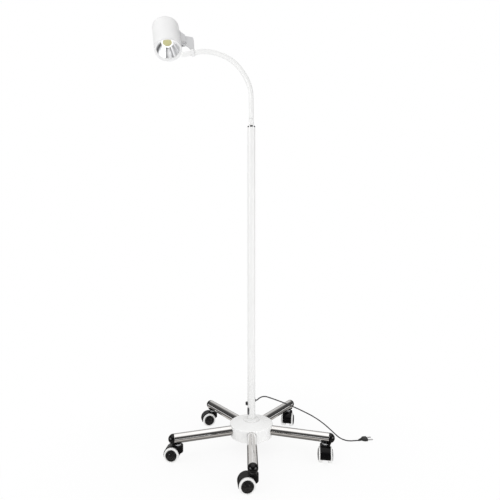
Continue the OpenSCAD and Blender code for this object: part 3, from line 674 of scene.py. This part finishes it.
def phosphor_look():
    """Olive-yellow phosphor, paler and speckled away from the middle."""
    m = Look("led_phosphor")
    radius = m.length(m.from_point(HEAD @ Vector((0, 0, CHIP_Z * MM))))
    core = m.remap(radius, 7.0 * MM, 12.0 * MM, 1.0, 0.0)
    speck = m.remap(m.noise(1800, 2), 0.4, 0.6)
    pale = m.mix(speck, (0.46, 0.445, 0.26), (0.39, 0.375, 0.20))
    glow = m.mix(core, pale, (0.43, 0.41, 0.19))
    m.bump(m.noise(2500, 2), 0.00002)
    return m.finish(glow, 0.35, Emission_Color=glow, Emission_Strength=0.35, Coat_Weight=0.5)


def light_disc():
    """Round light source with a slightly raised middle."""
    raised = [(0, 44.3), (0, CHIP_Z - 0.4), (9.1, CHIP_Z - 0.4)]
    plate = [(9.4, CHIP_Z), (16.4, CHIP_Z), (16.4, 44.3)]
    bm = bmesh.new()
    revolve(bm, rounded(raised + plate, [0, 0, 0.2, 0, 0.2, 0.1]), HEAD, 72, closed=False)
    new_piece("led_chip", bm, "led_yellow", "head", ["led_module"], look=phosphor_look())


def bracket_look():
    """Light grey coat that turns near-white on the collar round the end tube."""
    m = Look("bracket_coat")
    arm = m.remap(m.off_axis(swivel["pos_m"], swivel["axis"]), 12.8 * MM, 15.5 * MM)
    blotch = m.remap(m.noise(14, 4), 0.3, 0.7)
    base = m.mix(arm, (0.84, 0.84, 0.84), m.mix(blotch, (0.56, 0.562, 0.57), (0.59, 0.592, 0.60)))
    base = m.mix(m.math("MULTIPLY", m.worn_edge(), 0.4), base, (0.70, 0.70, 0.70))
    m.bump(m.noise(1500, 2, 0.5), 0.00002, soft_edges=0.5 * MM)
    return m.finish(base, m.remap(m.noise(40, 3), 0.3, 0.7, 0.4, 0.5), Coat_Weight=0.1, Coat_Roughness=0.3)


def housing_look():
    """White barrel coat that turns light grey on the cast lug outside the barrel."""
    m = Look("housing_coat")
    lug = m.remap(m.off_axis(HEAD.translation, HEAD_Z), 49.6 * MM, 50.4 * MM)
    blotch = m.remap(m.noise(14, 4), 0.3, 0.7)
    white = m.mix(blotch, (0.84, 0.84, 0.84), (0.87, 0.87, 0.87))
    grey = m.mix(blotch, (0.55, 0.553, 0.56), (0.59, 0.592, 0.60))
    base = m.mix(lug, white, grey)
    # painted shade: corners and gaps are darkened towards grey
    base = m.mix(m.math("MULTIPLY", m.crevice(6 * MM), 0.25), base, (0.36, 0.36, 0.36))
    base = m.mix(m.math("MULTIPLY", m.worn_edge(), 0.4), base, (0.70, 0.70, 0.70))
    m.bump(m.noise(1500, 2, 0.5), 0.00002, soft_edges=0.6 * MM)
    return m.finish(base, m.remap(m.noise(40, 3), 0.3, 0.7, 0.45, 0.55), Coat_Weight=0.1, Coat_Roughness=0.3)


front_ring()
reflector_bowl()
light_holder()
light_disc()
wear(frame["nodes"]["lamp_housing"], housing_look())
wear(frame["nodes"]["lamp_bracket"], bracket_look())


# ---------------------------------------------------------------- cord and plug


def arc_path(start, runs, step=2.5):
    """Centre line through runs of (length, turn in degrees, positive downwards), millimetres."""
    x, z, slope = start[0], start[1], 0.0
    points = [(x, z)]
    for length, turn in runs:
        count = max(2, round(length / step))
        for _ in range(count):
            slope += math.radians(turn) / count / 2
            x += math.cos(slope) * length / count
            z -= math.sin(slope) * length / count
            slope += math.radians(turn) / count / 2
            points.append((x, z))
    return points, slope


CORD_START = 12  # distance from the pole's axis, inside the grommet
CORD_RUNS = [(5, 0), (6.6, -44.1), (37.5, 64.2), (167.4, 8.8), (97.8, 14.7)]
LANDING = 65.8  # length of the bend that lays the cord on the floor
CORD_ON_FLOOR = 27.5  # runs on into the plug's strain relief
CLEAR = 0.1


def mains_cord():
    """Cord from the grommet to the floor: the drawn runs, a straight, a landing bend and a flat end."""
    heading = Vector((math.cos(CORD_HEADING), math.sin(CORD_HEADING), 0))
    low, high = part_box("cord_grommet")
    start = (CORD_START, (low.z + high.z) / 2 / MM)
    points, slope = arc_path(start, CORD_RUNS)
    fall = LANDING / slope * (1 - math.cos(slope))
    drop = points[-1][1] - (FLOOR_Z / MM + CORD_R + CLEAR) - fall
    landing = [(drop / math.sin(slope), 0), (LANDING, -math.degrees(slope)), (CORD_ON_FLOOR, 0)]
    points, _ = arc_path(start, CORD_RUNS + landing)
    bm = bmesh.new()
    tube(bm, [heading * x * MM + Vector((0, 0, z * MM)) for x, z in points], CORD_R, 20, up=(0.1, -1, 0))
    new_piece("mains_cord_run", bm, "cord_grey", "base", ["mains_cord"], angle=60)


def boxy(value):
    """Cosine or sine bent towards a rounded rectangle."""
    return math.copysign(abs(value) ** 0.62, value)


def mains_plug():
    """Moulded plug: ribbed strain relief, waisted flat body with rounded edges, two plated pins."""
    pins = [p for p in frame["record"]["mounts"] if p["name"].startswith("plug_pin")]
    middle = (Vector(pins[0]["pos_m"]) + Vector(pins[1]["pos_m"])) / 2
    heading = Vector(pins[0]["axis"])
    start = middle - heading * (PLUG_PIN_L / 2 + PLUG_L) * MM
    start.z = FLOOR_Z
    m = axis_frame(start, heading, (0, 0, 1))
    # x along the plug, half width, half height, height of the section's middle
    sections = [(1.0, 2.6, 2.5, 2.6)]
    for i in range(5):
        x, grow, mid = 2.0 + 2.2 * i, 0.35 * i, 3.2 + 0.55 * i
        rib, groove = (3.5 + grow, 3.1 + grow), (2.9 + grow, 2.6 + grow)
        sections += [(x, *rib, mid), (x + 1.1, *rib, mid + 0.1)]
        sections += [(x + 1.3, *groove, mid + 0.1), (x + 2.0, *groove, mid + 0.2)]
    sections += [(14.5, 7.5, 5.3, 6.3), (18, 10.8, 6.1, 6.5), (22, 12.6, 6.45, 6.5), (28, 12.95, 6.45, 6.5)]
    sections += [(32, 12.8, 6.3, 6.5), (33.4, 12.1, 5.7, 6.5), (33.9, 11.0, 4.8, 6.5)]
    around = [2 * math.pi * k / 48 for k in range(48)]
    bm = bmesh.new()
    rings = []
    for x, half_w, half_h, mid in sections:
        spots = [(mid + half_h * boxy(math.cos(a)), half_w * boxy(math.sin(a)), x) for a in around]
        rings.append([bm.verts.new(m @ (Vector(spot) * MM)) for spot in spots])
    skin(bm, rings)
    bm.faces.new(rings[0])
    bm.faces.new(rings[-1])
    new_piece("mains_plug_body", bm, "soft_black", "base", ["mains_plug"], angle=50)
    pin = rounded([(0, -1.0), (2.0, -1.0), (2.0, PLUG_PIN_L), (0, PLUG_PIN_L)], [0, 0, 1.2, 0])
    bm = bmesh.new()
    for p in pins:
        spot = Vector(p["pos_m"]) - heading * PLUG_PIN_L / 2 * MM
        revolve(bm, pin, axis_frame(spot, heading, (0, 0, 1)), 24, closed=False)
    new_piece("mains_plug_pins", bm, "plated_steel", "base", ["mains_plug"], angle=50)


mains_cord()
mains_plug()


# ---------------------------------------------------------------- stage, light, camera


def stage_floor():
    """White floor; mirror-like surfaces see a painted reflection of it, grey bands by the ray's slant that darken
    it near and under the base.
    """
    bm = bmesh.new()
    bmesh.ops.create_circle(bm, cap_ends=True, segments=96, radius=9.0)
    mesh = bpy.data.meshes.new("stage_floor")
    bm.to_mesh(mesh)
    bm.free()
    obj = bpy.data.objects.new("stage_floor", mesh)
    obj.location = (0, 0, FLOOR_Z - 0.0002)
    bpy.context.scene.collection.objects.link(obj)
    look = Look("pale_floor")
    fade = look.remap(look.length(look.coord), 0.20, 0.8, 0.88, 1.0)
    look.finish((0.93, 0.93, 0.93), 0.7)
    white = look.node("ShaderNodeEmission", Color=(1, 1, 1), Strength=1.0)
    seen = look.node("ShaderNodeMixShader", in_0=fade, in_1=look.bsdf.outputs[0], in_2=white)
    # painted reflection: glossy rays see grey bands by their slant in place of the lit floor, white again when far
    slant = look.node("ShaderNodeSeparateXYZ", 2, Vector=look.node("ShaderNodeNewGeometry", 4))
    levels = look.node("ShaderNodeValToRGB", Fac=slant)
    ramp_stops(
        levels.node.color_ramp,
        [(0.0, 0.10), (0.30, 0.14), (0.42, 0.10), (0.52, 0.45), (0.64, 0.75), (0.74, 0.24), (1.0, 0.20)],
        (1.0, 0.955, 0.91),
    )
    far = look.remap(look.node("ShaderNodeLightPath", "Ray Length"), 0.5, 0.9)
    painted_reflection = look.node("ShaderNodeEmission", Color=look.mix(far, levels, (0.95, 0.95, 0.95)), Strength=1.0)
    glossy = look.node("ShaderNodeLightPath", "Is Glossy Ray")
    both = look.node("ShaderNodeMixShader", in_0=glossy, in_1=seen, in_2=painted_reflection)
    look.links.new(both, look.nodes["Material Output"].inputs["Surface"])
    wear(obj, look.mat)


def studio_world():
    """White to the camera, soft grey to matt surfaces, a dark room with a bright ceiling to polished ones."""
    world = bpy.data.worlds.new("studio")
    bpy.context.scene.world = world
    world.use_nodes = True
    tree = world.node_tree
    nodes, links = tree.nodes, tree.links
    nodes.clear()

    def mapped(value, low, high, to_low=0.0, to_high=1.0):
        n = nodes.new("ShaderNodeMapRange")
        links.new(value, n.inputs[0])
        for slot, number in zip(n.inputs[1:5], (low, high, to_low, to_high)):
            slot.default_value = number
        return n.outputs[0]

    def ramp(value, stops, tint=(1, 1, 1)):
        n = nodes.new("ShaderNodeValToRGB")
        ramp_stops(n.color_ramp, stops, tint)
        links.new(value, n.inputs[0])
        return n.outputs[0]

    def mix(factor, a, b, kind="MIX"):
        n = nodes.new("ShaderNodeMix")
        n.data_type = "RGBA"
        n.blend_type = kind
        links.new(factor, n.inputs[0])
        for slot, value in ((n.inputs[6], a), (n.inputs[7], b)):
            if isinstance(value, tuple):
                slot.default_value = value
            else:
                links.new(value, slot)
        return n.outputs[2]

    coord = nodes.new("ShaderNodeTexCoord")
    split = nodes.new("ShaderNodeSeparateXYZ")
    links.new(coord.outputs["Generated"], split.inputs[0])
    height = mapped(split.outputs[2], -1.0, 1.0)
    lower = [(0.0, 0.30), (0.30, 0.16), (0.42, 0.05), (0.60, 0.05)]
    ceiling = [(0.80, 0.07), (0.87, 0.35), (0.92, 1.1), (1.0, 1.2)]
    room = ramp(height, lower + ceiling, (1.0, 0.985, 0.97))
    backdrop = ramp(height, [(0.0, 0.55), (0.5, 0.62), (1.0, 0.75)], (1.0, 0.985, 0.965))
    behind = mapped(split.outputs[1], 0.55, 0.85)
    polished = mix(behind, room, backdrop)
    for place in (Vector((0.86, -0.49, 0.13)), Vector((-0.86, -0.49, 0.13))):
        dot = nodes.new("ShaderNodeVectorMath")
        dot.operation = "DOT_PRODUCT"
        links.new(coord.outputs["Generated"], dot.inputs[0])
        dot.inputs[1].default_value = place.normalized()
        patch = mapped(dot.outputs["Value"], 0.90, 0.96)
        polished = mix(patch, polished, (4.0, 4.0, 4.0, 1))
    soft = ramp(height, [(0.0, 0.60), (0.5, 0.64), (0.75, 0.80), (1.0, 1.05)])
    side = ramp(mapped(split.outputs[0], -1.0, 1.0), [(0.0, 1.0), (0.45, 0.95), (1.0, 0.66)])
    full = nodes.new("ShaderNodeValue")
    full.outputs[0].default_value = 1.0
    soft = mix(full.outputs[0], soft, side, "MULTIPLY")
    path_info = nodes.new("ShaderNodeLightPath")
    matt = mix(path_info.outputs["Is Glossy Ray"], soft, polished)
    shown = mix(path_info.outputs["Is Camera Ray"], matt, (1.0, 1.0, 1.0, 1.0))
    back = nodes.new("ShaderNodeBackground")
    links.new(shown, back.inputs[0])
    out = nodes.new("ShaderNodeOutputWorld")
    links.new(back.outputs[0], out.inputs[0])


def soft_box(name, place, aim, size, power):
    light = bpy.data.lights.new(name, "AREA")
    light.shape = "RECTANGLE"
    light.size, light.size_y = size
    light.energy = power
    obj = bpy.data.objects.new(name, light)
    obj.location = place
    obj.visible_glossy = False
    obj.rotation_euler = (Vector(aim) - Vector(place)).to_track_quat("-Z", "Y").to_euler()
    bpy.context.scene.collection.objects.link(obj)


def camera():
    data = bpy.data.cameras.new("camera")
    data.sensor_width = 36.0
    data.lens = LENS
    obj = bpy.data.objects.new("camera", data)
    obj.location = EYE
    obj.rotation_euler = (math.pi / 2, 0, 0)
    bpy.context.scene.collection.objects.link(obj)
    bpy.context.scene.camera = obj


stage_floor()
studio_world()
soft_box("key", (-1.5, -1.5, 2.3), (-0.15, 0, 0.9), (1.4, 1.8), 15)
soft_box("fill", (1.25, -1.25, 0.45), (0.05, 0, 0.0), (1.0, 0.8), 7.5)
camera()
bpy.context.scene.view_settings.view_transform = "Standard"
